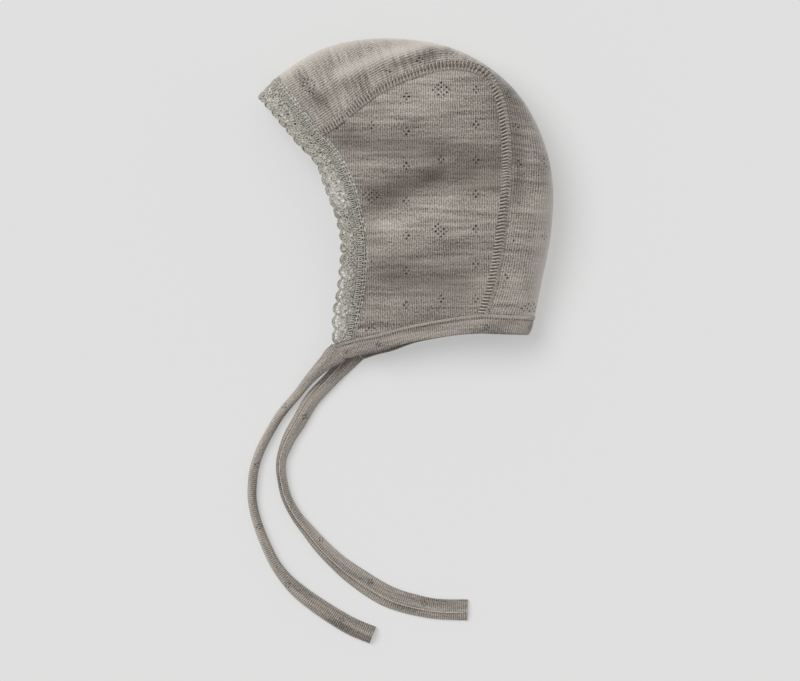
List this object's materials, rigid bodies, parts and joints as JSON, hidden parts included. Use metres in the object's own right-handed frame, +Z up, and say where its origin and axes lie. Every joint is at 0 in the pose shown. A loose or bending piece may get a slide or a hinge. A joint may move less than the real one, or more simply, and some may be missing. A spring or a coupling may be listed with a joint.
{
  "type": "knitted baby bonnet",
  "caption": "Soft knitted pointelle baby bonnet lying on its side, with a scalloped lace edge round the face opening, a folded neck band and two long flat ties.",
  "frame": {"origin": "middle of the bonnet's outline without the ties, on the surface that it lies on", "axes": "+X from the face opening to the back of the head, +Y from the nape to the crown, +Z up from the surface, out of the wearer's left side"},
  "size_m": [0.1626, 0.3202, 0.0436],
  "materials": {
    "knit": "fine melange rib knit with pointelle holes, matt",
    "lace": "stretch lace with scallops, slight sheen",
    "band": "folded melange knit, matt"
  },
  "bodies": {
    "root": {"side_panel_left": "knit", "side_panel_right": "knit", "centre_panel": "knit", "lace_trim": "lace", "neck_band": "band", "tie_left": "band", "tie_right": "band"}
  },
  "joints": []
}
